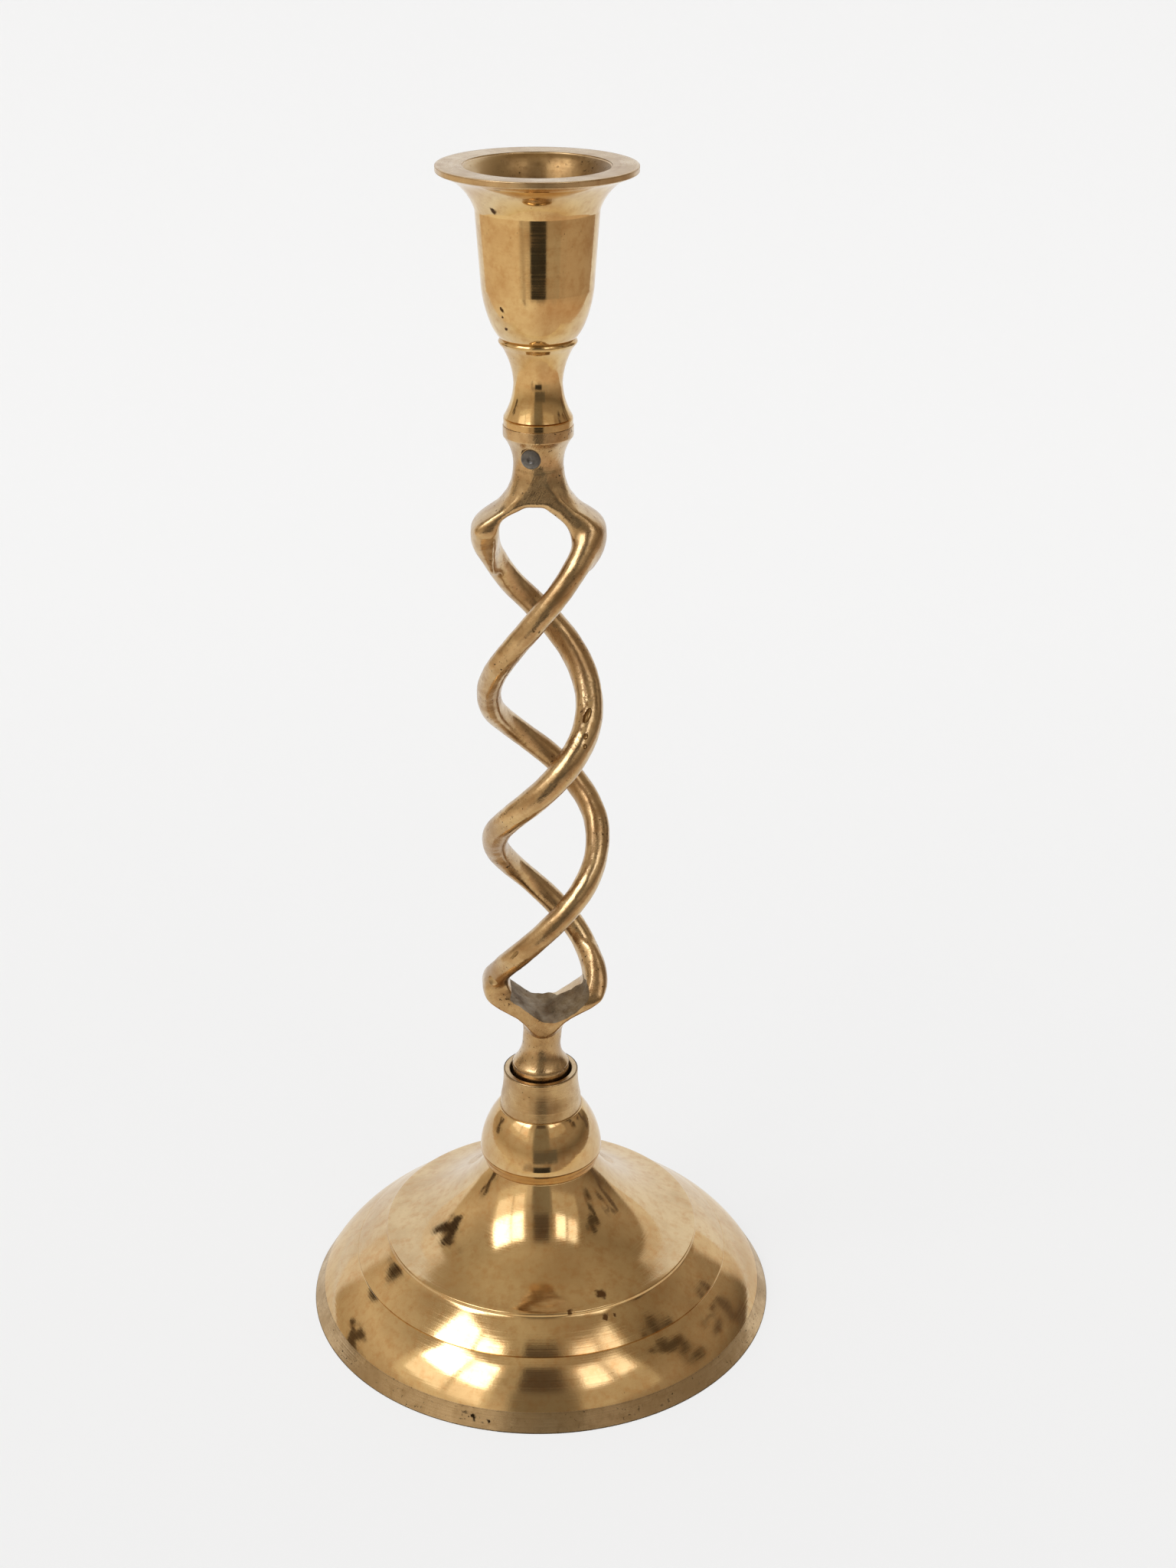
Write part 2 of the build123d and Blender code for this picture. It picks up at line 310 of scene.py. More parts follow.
# %% [markdown]
# ## Marks on brass
# Brass is an alloy of copper and zinc. Turned and polished it is a yellow mirror, and with age it
# browns in soft patches and gets small dark specks and stains. A painted image could hold them, but
# noise at their real size needs no picture and has no seams.

# %% Patches and stains
def spots(tree, where, size_mm, detail, low, high):
    """Cloudy spots of this size, from 0 where the noise is at one level to 1 at the other."""
    cloud = add_node(tree, "TexNoise", {}, {
        "Vector": where, "Scale": 1 / (size_mm * MM), "Detail": detail, "Roughness": 0.62})
    return add_node(tree, "MapRange", SMOOTH_STEP, {0: cloud, 1: low, 2: high})


def with_stains(tree, where, mask, stains):
    """Add dark stains with ragged edges, each at (x, y, z, radius) in mm, to a mask."""
    ragged_mm, drift_mm = 1.6, 2.4
    cloud = add_node(tree, "TexNoise", {}, {
        "Vector": where, "Scale": 1 / (ragged_mm * MM), "Detail": 4.0})
    drift = add_node(tree, "VectorMath", {"operation": "MULTIPLY_ADD"}, {
        0: cloud.outputs["Color"], 1: (drift_mm * MM,) * 3, 2: where})
    for *place, radius in stains:
        middle = [(c + drift_mm / 2) * MM for c in place]
        reach = add_node(tree, "VectorMath", {"operation": "DISTANCE"}, {0: drift, 1: middle})
        spot = add_node(tree, "MapRange", SMOOTH_STEP, {
            0: reach.outputs["Value"], 1: radius * MM, 2: radius * MM / 2})
        mask = add_node(tree, "Math", {"operation": "MAXIMUM"}, {0: mask, 1: spot})
    return mask


print("stains have ragged edges")

# %% [markdown]
# A lathe tool leaves fine rings, which run round the piece, and a file leaves strokes along the
# strands, which climb at half a right angle round the stem. Both are too fine to show in a picture
# of the whole holder, so they are drawn a little coarser than they are.

# %% Tool marks
ring_mm, stroke_mm, stroke_length_mm, stem_radius_mm = 0.45, 0.8, 16, 11.7


def lathe_rings(tree, place):
    """Noise in rings that follow the outline: by height, and by radius where the outline is flat."""
    flat = add_node(tree, "CombineXYZ", {}, {0: place.outputs[0], 1: place.outputs[1]})
    radius = add_node(tree, "VectorMath", {"operation": "LENGTH"}, {0: flat})
    along = add_node(tree, "Math", {"operation": "MULTIPLY_ADD"}, {
        0: radius.outputs["Value"], 1: -0.6, 2: place.outputs[2]})
    return add_node(tree, "TexNoise", {"noise_dimensions": "1D"}, {
        "W": along, "Scale": 1 / (ring_mm * MM), "Detail": 2.0})


def file_strokes(tree, place):
    """Noise in long strokes that climb to the right round the stem."""
    front = add_node(tree, "Math", {"operation": "MULTIPLY"}, {0: place.outputs[1], 1: -1.0})
    angle = add_node(tree, "Math", {"operation": "ARCTAN2"}, {0: place.outputs[0], 1: front})
    arc = add_node(tree, "Math", {"operation": "MULTIPLY"}, {0: angle, 1: stem_radius_mm * MM})
    uphill = add_node(tree, "Math", {"operation": "ADD"}, {0: arc, 1: place.outputs[2]})
    sidehill = add_node(tree, "Math", {"operation": "SUBTRACT"}, {0: arc, 1: place.outputs[2]})
    spread = add_node(tree, "CombineXYZ", {}, {0: uphill, 1: sidehill})
    stretch = add_node(tree, "VectorMath", {"operation": "MULTIPLY"}, {
        0: spread, 1: (1 / (stroke_length_mm * MM), 1 / (stroke_mm * MM), 0)})
    return add_node(tree, "TexNoise", {"noise_dimensions": "2D"}, {
        "Vector": stretch, "Scale": 1.0, "Detail": 3.0})


print("lathe rings", ring_mm, "mm apart, file strokes", stroke_mm, "mm")

# %% [markdown]
# ## Brass
# One function mixes those marks for every brass piece. The metal keeps the default IOR: its colour
# and roughness do the rest. Stains and specks are also rougher than the metal round them.

# %% Brass finish
def brass_finish(name, clean, aged, warm, speck, gloss, dull, speck_share, line_depth, patch_mm=16,
                 grain_mm=0.6, grain_depth=0.004, filed=False, lighter_left=None, stains=()):
    """A brass material: clean and aged metal in patches, a warm mottle, dark specks, and the lines of
    a lathe tool or of a file. A lighter colour, if given, takes over towards the left of the piece."""
    mottle_mm, speck_mm, cluster_mm = 2.2, 0.8, 9
    material = bpy.data.materials.new(name)
    material.use_nodes = True
    tree = material.node_tree
    tree.nodes.clear()
    where = add_node(tree, "TexCoord").outputs["Object"]
    place = add_node(tree, "SeparateXYZ", {}, {0: where})

    age = spots(tree, where, patch_mm, 5.0, 0.36, 0.68)
    mottle = spots(tree, where, mottle_mm, 6.0, 0.42, 0.74)
    pits = spots(tree, where, speck_mm, 3.0, 0.71 - speck_share, 0.79 - speck_share)
    clusters = spots(tree, where, cluster_mm, 3.0, 0.38, 0.62)
    stain = add_node(tree, "Math", {"operation": "MULTIPLY"}, {0: pits, 1: clusters})
    if stains:
        stain = with_stains(tree, where, stain, stains)
    blush = add_node(tree, "Math", {"operation": "MULTIPLY"}, {0: mottle, 1: 0.55})
    metal = add_node(tree, "Mix", COLOURS, {0: age, 6: colour(clean), 7: colour(aged)}).outputs[2]
    metal = add_node(tree, "Mix", COLOURS, {0: blush, 6: metal, 7: colour(warm)}).outputs[2]
    metal = add_node(tree, "Mix", COLOURS, {0: stain, 6: metal, 7: colour(speck)}).outputs[2]
    # A lighter colour takes over towards the left, by a fixed ramp across X.
    if lighter_left:
        side = add_node(tree, "MapRange", SMOOTH_STEP, {0: place.outputs[0], 1: -4 * MM, 2: -13 * MM})
        metal = add_node(tree, "Mix", COLOURS, {0: side, 6: metal, 7: colour(lighter_left)}).outputs[2]

    lines = file_strokes(tree, place) if filed else lathe_rings(tree, place)
    shine = add_node(tree, "MapRange", {}, {0: age, 3: gloss, 4: dull})
    lined = add_node(tree, "MapRange", {}, {0: lines, 1: 0.3, 2: 0.7, 3: -0.03, 4: 0.04})
    lined_shine = add_node(tree, "Math", {"operation": "ADD"}, {0: shine, 1: lined})
    rough = add_node(tree, "Math", {"operation": "MULTIPLY_ADD", "use_clamp": True}, {
        0: stain, 1: 0.35, 2: lined_shine})
    grain = add_node(tree, "TexNoise", {}, {
        "Vector": where, "Scale": 1 / (grain_mm * MM), "Detail": 4.0})
    line_bump = add_node(tree, "Bump", {}, {
        "Height": lines, "Distance": line_depth * MM, "Strength": 1.0})
    bump = add_node(tree, "Bump", {}, {
        "Height": grain, "Distance": grain_depth * MM, "Strength": 1.0, "Normal": line_bump})
    shader = add_node(tree, "BsdfPrincipled", {}, {
        "Base Color": metal, "Metallic": 1.0, "Roughness": rough, "Normal": bump})
    add_node(tree, "OutputMaterial", {}, {"Surface": shader})
    return material


# Polished mirror with a pale golden tone that browns towards pink.
polished_brass = brass_finish("polished_turned_brass", "DEC49A", "CDB087", "C69866", "6A4E32",
                              0.06, 0.13, 0.0, 0.003, stains=[
                                  (14.2, -32.2, 20.9, 1.7), (6.8, -37.6, 19.8, 0.9),
                                  (15.0, -37.3, 18.3, 1.1), (17.4, -36.4, 18.4, 0.8)])
# The cup is a yellower mirror, with brown clouds and specks where drips of wax were left.
golden_brass = brass_finish("golden_turned_brass", "E0C698", "CDAC7E", "BE9462", "4E3822",
                            0.07, 0.15, 0.03, 0.003, patch_mm=11, stains=[
                                (-8.9, -10.3, 272.5, 1.0), (-7.5, -8.6, 251.9, 0.6),
                                (-7.2, -8.3, 250.6, 0.5), (-6.4, -7.7, 247.6, 0.7)])
print("mirror finishes", polished_brass.name, "and", golden_brass.name)

# %% [markdown]
# The other brass surfaces are duller: satin from the tool, worn, tarnished, filed, or raw from the
# mould. They come from the same function with a darker metal and a higher roughness.

# %% Duller brass
# The collar was left from the tool: the light spreads into a soft satin.
satin_brass = brass_finish("satin_turned_brass", "D6BE9A", "B89C78", "AC8862", "54422C",
                           0.24, 0.34, 0.03, 0.012)
# The land of the lip is worn by wax and cleaning into a pale dull gold.
worn_brass = brass_finish("worn_lip_brass", "E0CAA8", "CBB08C", "B69472", "4A3824",
                          0.22, 0.34, 0.03, 0.006)
# Inside the mouth, wax and air have turned the metal olive-brown and matt. It is lighter to the left.
tarnished_brass = brass_finish("tarnished_brass", "AE926A", "8A7050", "785C3C", "302418",
                               0.28, 0.44, 0.1, 0.004, grain_depth=0.02, lighter_left="D8C09A")
# The rim band is a paler brown, dull and specked, and nobody rubs it.
rim_brass = brass_finish("tarnished_rim_brass", "D4BEA0", "B29A7A", "A08664", "2E2418",
                         0.2, 0.36, 0.1, 0.012, stains=[
                             (-17.8, -53.2, 3.0, 1.0), (-16.0, -53.9, 2.2, 0.8),
                             (-12.6, -54.8, 2.0, 0.8)])
# Filed by hand along the strands, so the highlights break up along them.
filed_brass = brass_finish("filed_cast_brass", "D6BE9B", "B49672", "AA8660", "463220",
                           0.17, 0.3, 0.1, 0.024, grain_depth=0.03, filed=True)
# Raw casting skin: grey-brown, matt and grainy.
raw_brass = brass_finish("raw_casting_skin", "A29480", "867868", "867058", "3A3026",
                         0.5, 0.72, 0.07, 0.0, patch_mm=8, grain_mm=0.7, grain_depth=0.12)
print("brass finishes ready")

# %% [markdown]
# ## Steel and a near-black washer
# The pin, studs, nut and washer are plain steel that has gone grey in the air. The packing washer
# under the stem is near black: painted shade for the dark gap in the collar's mouth. Both are cloudy
# in tone and have a grain, so one function does.

# %% Steel and a near-black washer
def plain_finish(name, light, dark, low, high, metal, cloud_mm, grain_mm, grain_depth):
    """A cloudy two-tone finish with a grain, for the small fittings."""
    material = bpy.data.materials.new(name)
    material.use_nodes = True
    tree = material.node_tree
    tree.nodes.clear()
    where = add_node(tree, "TexCoord").outputs["Object"]
    cloud = add_node(tree, "TexNoise", {}, {
        "Vector": where, "Scale": 1 / (cloud_mm * MM), "Detail": 5.0})
    grain = add_node(tree, "TexNoise", {}, {
        "Vector": where, "Scale": 1 / (grain_mm * MM), "Detail": 3.0})
    tone = add_node(tree, "Mix", COLOURS, {0: cloud, 6: colour(light), 7: colour(dark)})
    rough = add_node(tree, "MapRange", {}, {0: cloud, 1: 0.3, 2: 0.7, 3: low, 4: high})
    bump = add_node(tree, "Bump", {}, {"Height": grain, "Distance": grain_depth * MM})
    shader = add_node(tree, "BsdfPrincipled", {}, {
        "Base Color": tone.outputs[2], "Metallic": metal, "Roughness": rough, "Normal": bump})
    add_node(tree, "OutputMaterial", {}, {"Surface": shader})
    return material


# A dull metal with a cloudy blue-grey tone.
grey_steel = plain_finish("dull_grey_steel", "8E9098", "4A4C56", 0.28, 0.5, 1.0, 0.9, 0.4, 0.02)
# Near black and matt, with a fine grain: painted shade for the dark gap round the stem's bell.
near_black_painted_shade = plain_finish("near_black_painted_shade", "3A2A20", "1E1612", 0.55, 0.8, 0.0, 4.0, 0.5, 0.05)
print("steel and leather ready")

# %% [markdown]
# ## Turning
# Foot, knop, cup and necks came off a lathe. A turned piece can be a stack of scaled rings, a Screw
# modifier or a spin. The spin is used: half of the outline is drawn point by point, with the same
# arcs as in the CAD model, and turned once round the axis.

# %% Outline
HOLD = 0.15


def arc_points(here, there, bulge):
    """The points between the ends of an arc that stands off its chord by bulge, to the left of the
    way along it if positive."""
    chord = there - here
    radius = (chord.length_squared / 4 + bulge ** 2) / (2 * bulge)
    left = Vector((-chord.z, 0, chord.x)).normalized()
    centre = (here + there) / 2 + left * (bulge - radius)
    arm = here - centre
    sweep = 4 * math.atan2(2 * bulge, chord.length)
    steps = max(4, round(abs(math.degrees(sweep)) / 4), round(chord.length / 1.2))
    for i in range(1, steps):
        a = -sweep * i / steps
        yield centre + Vector((
            arm.x * math.cos(a) - arm.z * math.sin(a), 0,
            arm.x * math.sin(a) + arm.z * math.cos(a)))


def outline_points(outline):
    """Points in metres along a half outline in mm. A leg (r, z) is straight and a leg (r, z, bulge)
    is an arc. Straight legs get a point near each end, which keeps smooth shading at the corners."""
    points = [Vector((outline[0][0], 0, outline[0][1]))]
    for r, z, *bulge in outline[1:]:
        here, there = points[-1], Vector((r, 0, z))
        length = (there - here).length
        if bulge:
            points.extend(arc_points(here, there, bulge[0]))
        elif length > 6 * HOLD:
            points.extend((here.lerp(there, HOLD / length), there.lerp(here, HOLD / length)))
        points.append(there)
    return [p * MM for p in points]


print("an arc of 20 mm has", len(outline_points([(0, 0), (20, 0, 2)])), "points")

# %% [markdown]
# The spin leaves doubled points on the seam and on the axis. They are merged before the normals are
# made to point outwards.

# %% Lathe
TURN_STEPS = 192


def turn_piece(name, outline, steps=TURN_STEPS):
    """Turn a closed half outline, in mm, once round the Z axis."""
    piece = drawn_line(name, outline_points([*outline, outline[0]]))
    bpy.ops.mesh.spin(steps=steps, angle=2 * math.pi, center=(0, 0, 0), axis=(0, 0, 1))
    bpy.ops.mesh.select_all(action="SELECT")
    bpy.ops.mesh.remove_doubles(threshold=1e-6)
    bpy.ops.mesh.dissolve_degenerate(threshold=1e-7)
    bpy.ops.mesh.delete_loose(use_verts=True, use_edges=True, use_faces=False)
    bpy.ops.mesh.select_all(action="SELECT")
    bpy.ops.mesh.normals_make_consistent(inside=False)
    bpy.ops.object.mode_set(mode="OBJECT")
    return piece


print("lathe of", TURN_STEPS, "steps")

# %% [markdown]
# Edges that a lathe tool or years of polishing have broken are bevelled, and the piece is then
# shaded smooth apart from the edges that are still sharp. An operator acts on all that is selected,
# so each piece is first picked alone.

# %% Edges and shading
def pick(piece):
    """Select one object alone and make it the active one."""
    bpy.ops.object.select_all(action="DESELECT")
    bpy.context.view_layer.objects.active = piece
    piece.select_set(True)


def soften_ring(piece, r, z, width, segments=3):
    """Bevel the edge that runs round a turned piece at radius r and height z, in mm."""
    near = 2e-6
    pick(piece)
    bpy.ops.object.mode_set(mode="EDIT")
    bpy.ops.mesh.select_mode(type="EDGE")
    bpy.ops.mesh.select_all(action="DESELECT")
    shape = bmesh.from_edit_mesh(piece.data)
    for edge in shape.edges:
        if all(abs(math.hypot(v.co.x, v.co.y) - r * MM) < near and abs(v.co.z - z * MM) < near
               for v in edge.verts):
            edge.select_set(True)
    bmesh.update_edit_mesh(piece.data)
    bpy.ops.mesh.bevel(offset=width * MM, segments=segments, affect="EDGES")
    bpy.ops.mesh.select_mode(type="VERT")
    bpy.ops.object.mode_set(mode="OBJECT")


def smooth(piece, degrees=32):
    """Shade smooth, apart from edges sharper than this angle."""
    pick(piece)
    bpy.ops.object.shade_smooth_by_angle(angle=math.radians(degrees))
    print(piece.name, len(piece.data.vertices), "vertices", len(piece.data.polygons), "faces")


print("edges softer than 32 degrees are shaded smooth")

# %% [markdown]
# ## The foot
# The foot is a hollow casting, turned outside: a tapered rim band, a convex dome with one scribed
# line, a small raised step, and a cone with hollow sides up to the crown. The scribed line is a real
# groove in the outline, because the light catches its lip.

# %% Foot
foot_r, rim_inner_r, band_top_r, band_top_z = 57.3, 53.6, 54.8, 4.2
step_r, dome_top_z, step_z = 38.7, 19.2, 20.0
line_in, line_out, line_depth = (46.0, 13.37), (46.2, 13.15), 0.12
crown_r, crown_z, crown_under_z, spigot_hole_r = 13.2, 39.2, 35.0, 6.55
foot = turn_piece("turned_foot", [
    (rim_inner_r, 0),
    (foot_r, 0),
    (band_top_r, band_top_z),
    (*line_out, -0.55),
    ((line_out[0] + line_in[0]) / 2 - line_depth, (line_out[1] + line_in[1]) / 2 - line_depth),
    line_in,
    (step_r, dome_top_z, -0.14),
    (step_r, step_z),
    (crown_r, crown_z, 3.5),
    (spigot_hole_r, crown_z),
    (spigot_hole_r, crown_under_z),
    (11.4, crown_under_z),
    (36.9, 17.4, -3.5),
])
for r, z, width in ((foot_r, 0, 0.35), (rim_inner_r, 0, 0.3), (band_top_r, band_top_z, 0.2),
                    (step_r, step_z, 0.32), (step_r, dome_top_z, 0.12)):
    soften_ring(foot, r, z, width)
smooth(foot)

# %% [markdown]
# The dome is polished, the rim band is tarnished, and the underside stays as it was cast. Faces are
# given a finish by where they are and which way they look. A finished piece then stands for its CAD
# node: it rides on the same body, and the CAD node is hidden.

# %% Finishes of the foot
def finish_faces(piece, finish, chosen):
    """Give a finish to the faces that a test picks by radius and height in mm and by the outward
    and upward shares of their normal."""
    piece.data.materials.append(finish)
    slot = len(piece.data.materials) - 1
    for face in piece.data.polygons:
        r = math.hypot(face.center.x, face.center.y)
        outward = (face.normal.x * face.center.x + face.normal.y * face.center.y) / max(r, 1e-9)
        if chosen(r / MM, face.center.z / MM, outward, face.normal.z):
            face.material_index = slot


def stands_for(piece, node, body):
    """Let a modelled piece ride on a body in place of a CAD node."""
    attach(piece, body)
    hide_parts(node)
    print(piece.name, "stands for", node, "with", [m.name for m in piece.data.materials])


finish_faces(foot, polished_brass, lambda r, z, outward, upward: True)
finish_faces(foot, rim_brass, lambda r, z, outward, upward: z < band_top_z and outward > 0.5)
finish_faces(foot, raw_brass, lambda r, z, outward, upward: upward < -0.1 or outward < -0.6)
stands_for(foot, "foot", "base")

# %% [markdown]
# ## The knop and collar
# A ball-shaped knop stands on the crown and narrows into a collar, whose mouth takes the stem's bell.
# Both are one turning. The collar was left satin, the knop was polished.

# %% Knop and collar
spigot_r, spigot_low_z = 6.5, 35.4
knop_lip_r, knop_lip_z = 13.9, crown_z + 0.4
knop_r, knop_z, knop_top_r, knop_top_z = 14.9, 42.6, 10.2, 54.4
collar_base_r, collar_top_r, mouth_z, mouth_r, recess_z = 9.9, 9.0, 64.4, 7.5, 58.6
stud_hole_r = 3.3
knop = turn_piece("turned_knop", [
    (spigot_r, spigot_low_z),
    (spigot_r, crown_z),
    (knop_lip_r, crown_z),
    (knop_lip_r, knop_lip_z),
    (knop_r, knop_z, -0.15),
    (knop_top_r, knop_top_z, -1.0),
    (collar_base_r, knop_top_z),
    (9.7, 57.0),
    (9.05, 61.8, 0.1),
    (collar_top_r, mouth_z),
    (mouth_r, mouth_z),
    (mouth_r, recess_z),
    (stud_hole_r, recess_z),
    (stud_hole_r, spigot_low_z),
])
for r, z, width in ((knop_lip_r, knop_lip_z, 0.12), (knop_top_r, knop_top_z, 0.15),
                    (collar_top_r, mouth_z, 0.3), (mouth_r, mouth_z, 0.2)):
    soften_ring(knop, r, z, width)
smooth(knop)
finish_faces(knop, polished_brass, lambda r, z, outward, upward: True)
finish_faces(knop, satin_brass, lambda r, z, outward, upward: z > knop_top_z and outward > -0.5)
finish_faces(knop, raw_brass, lambda r, z, outward, upward: outward < -0.5 or z < crown_z)
stands_for(knop, "knop_collar", "base")

# %% [markdown]
# ## The candle cup
# The cup is a bell on a slender neck: a flange, a waist, a small ledge, the bowl, and a lip that
# flares out nearly flat. On top the lip has a flat land, and inside it the mouth runs down into the
# bore for the candle. It is one outline again, outside first and then back down the inside.

# %% Candle cup
cup_z, flange_r, flange_z = 225.3, 7.5, 226.75
lip_z, cup_top_z, lip_r, land_r = 278.7, 280.0, 21.05, 15.5
bore_r, bore_low_z, floor_r, floor_z, hole_top_z = 11.1, 255.6, 7.0, 247.6, 236.9
cup = turn_piece("turned_candle_cup", [
    (stud_hole_r, cup_z),
    (flange_r, cup_z),
    (flange_r, flange_z),
    (7.05, 226.9),
    (7.45, 227.2),
    (5.28, 234.5, 0.5),
    (7.5, 242.1, 0.47),
    (8.3, 243.1),
    (8.42, 243.45),
    (8.0, 244.1, -0.07),
    (9.87, 247.0, -0.12),
    (11.9, 254.8, -0.3),
    (13.05, 271.0),
    (lip_r, lip_z, 1.4),
    (lip_r, cup_top_z),
    (land_r, cup_top_z - 0.15, -0.05),
    (land_r - 0.3, cup_top_z - 0.5, 0.06),
    (bore_r, 270.8, -0.7),
    (bore_r, bore_low_z),
    (floor_r, floor_z, 1.0),
    (0, floor_z),
    (0, hole_top_z),
    (stud_hole_r, hole_top_z),
])
for r, z, width in ((lip_r, cup_top_z, 0.25), (lip_r, lip_z, 0.2),
                    (flange_r, cup_z, 0.1), (flange_r, flange_z, 0.1)):
    soften_ring(cup, r, z, width)
smooth(cup)

# %% [markdown]
# The outside of the cup is polished, the mouth is tarnished, and the land and the edge of the lip are
# worn. The hole for the stud was never polished.

# %% Finishes of the cup
finish_faces(cup, golden_brass, lambda r, z, outward, upward: True)
finish_faces(cup, tarnished_brass, lambda r, z, outward, upward: z > 247 and outward < 0.05)
finish_faces(cup, worn_brass, lambda r, z, outward, upward: z > 278 and (
    r > lip_r - 0.3 or (r > land_r - 0.3 and upward > 0.5)))
finish_faces(cup, raw_brass, lambda r, z, outward, upward: r < 3.4 and z < 240)
stands_for(cup, "candle_cup", "column")

# %% [markdown]
# ## The twisted strands
# Between the yokes of the stem two strands wind one and a half turns to the right. A ring with a
# Screw modifier makes an even twist, but the real one is uneven: the strands lead and lag, swell and
# shrink, and the lower turns bow to the right. So they are curves with a bevel, whose points can
# each have a place and a thickness. The numbers were read off the photograph at six heights.

# %% Lean of the strands
twist_low, twist_high, twist_degrees = 88.3, 200.3, 540
leans = [
    # height, left strand's lead in degrees, distance and half thickness, the right one's, bow
    (88, 2, 12.2, 3.05, 7, 12.0, 3.05, 1.2),
    (109, -5, 12.3, 2.8, 3, 11.7, 2.85, 1.0),
    (130, -5, 12.3, 2.95, -2, 11.6, 3.15, 1.2),
    (158, 8, 11.4, 2.85, 11, 11.25, 3.3, 0.2),
    (186, -14, 11.6, 2.8, 8, 11.0, 2.95, -0.8),
    (202, -27, 12.4, 3.2, -6, 11.4, 3.15, -0.4),
]
LEFT_STRAND, RIGHT_STRAND, BOW = 1, 4, 7


def lean_at(z, column):
    """A value of the lean table at a height between its rows."""
    for low, high in zip(leans, leans[1:]):
        if z <= high[0]:
            break
    share = (z - low[0]) / (high[0] - low[0])
    return low[column] + (high[column] - low[column]) * share


print("the strands bow by", round(lean_at(100, BOW), 2), "mm at a height of 100 mm")

# %% [markdown]
# A strand's cross section is a circle that a file has squared a little. It is drawn once as a closed
# curve, and the strand's own curve sweeps it upwards.

# %% Strands
strand_low, strand_high, strand_steps = 87.0, 202.0, 90
section_steps, section_size, squareness = 16, 0.98, 2.3


def curve_object(name, points, closed=False):
    """A curve through points (x, y, z, thickness), in metres."""
    data = bpy.data.curves.new(name, "CURVE")
    data.dimensions = "3D"
    line = data.splines.new("NURBS")
    line.points.add(len(points) - 1)
    line.order_u, line.use_endpoint_u, line.use_cyclic_u = 4, not closed, closed
    line.resolution_u = 2
    for point, (x, y, z, thickness) in zip(line.points, points):
        point.co = (x, y, z, 1.0)
        point.radius = thickness
    piece = bpy.data.objects.new(name, data)
    bpy.context.scene.collection.objects.link(piece)
    return piece


def strand(name, start, column):
    """One strand from its lower corner, at this angle round the axis, up and round to the right."""
    points = []
    for i in range(strand_steps + 1):
        z = strand_low + (strand_high - strand_low) * i / strand_steps
        even = start + twist_degrees * (z - twist_low) / (twist_high - twist_low)
        angle = math.radians(even + lean_at(z, column))
        r = lean_at(z, column + 1)
        points.append((
            (r * math.cos(angle) + lean_at(z, BOW)) * MM, r * math.sin(angle) * MM, z * MM,
            lean_at(z, column + 2)))
    piece = curve_object(name, points)
    corners = []
    for i in range(section_steps):
        a = 2 * math.pi * (i + 0.5) / section_steps
        spread = abs(math.cos(a)) ** squareness + abs(math.sin(a)) ** squareness
        r = section_size / spread ** (1 / squareness)
        corners.append((r * math.cos(a) * MM, r * math.sin(a) * MM, 0, 1))
    section = curve_object(name + "_section", corners, closed=True)
    piece.data.bevel_mode, piece.data.bevel_object = "OBJECT", section
    piece.data.twist_mode, piece.data.use_fill_caps = "Z_UP", True
    pick(piece)
    bpy.ops.object.convert(target="MESH")
    bpy.data.objects.remove(section)
    return bpy.context.object


strands = [strand("strand_from_left", 180, LEFT_STRAND), strand("strand_from_right", 0, RIGHT_STRAND)]
print("strands with", [len(s.data.polygons) for s in strands], "faces")

# %% [markdown]
# ## The yokes
# Each end of the twist is a yoke: a shoulder shaped like a trumpet, filed flat in front and behind,
# and opened by an arch into two arms. Bisecting a turned shoulder leaves open edges, so it is cut by
# solid blocks, drawn like everything else as an outline and then extruded.

# %% Cutting tools
def apply_modifier(piece, kind, **settings):
    """Add a modifier with these settings and apply it."""
    pick(piece)
    modifier = piece.modifiers.new(kind.lower(), kind)
    for name, value in settings.items():
        setattr(modifier, name, value)
    bpy.ops.object.modifier_apply(modifier=modifier.name)


def cut(piece, tool, operation="DIFFERENCE"):
    """Cut a piece by a tool body, or join it with one, and throw the tool away."""
    apply_modifier(piece, "BOOLEAN", object=tool, operation=operation, solver="EXACT",
                   material_mode="TRANSFER")
    bpy.data.objects.remove(tool)


def prism(name, corners, push):
    """A block with these corners, in mm, pushed out along a vector."""
    piece = drawn_line(name, [Vector(corner) * MM for corner in corners])
    bpy.ops.mesh.edge_face_add()
    bpy.ops.mesh.extrude_region_move(TRANSFORM_OT_translate={"value": Vector(push) * MM})
    bpy.ops.mesh.select_all(action="SELECT")
    bpy.ops.mesh.normals_make_consistent(inside=False)
    bpy.ops.object.mode_set(mode="OBJECT")
    return piece


def front_block(outline):
    """The corners and push of a block through a yoke, by its (x, z) outline seen from the front."""
    return [(x, 12, z) for x, z in outline], (0, -24, 0)


def side_block(outline, side):
    """The same for a block on one arm, by its (y, z) outline seen from the side."""
    return [(0, y, z) for y, z in outline], (side * 20, 0, 0)


print("cutting tools ready")

# %% [markdown]
# Each arm must end where its strand begins. The strands cross the yokes at a slant, so a wedge comes
# off each arm: on the front of one and on the back of the other.

# %% Yokes
RIGHT, LEFT = 1, -1


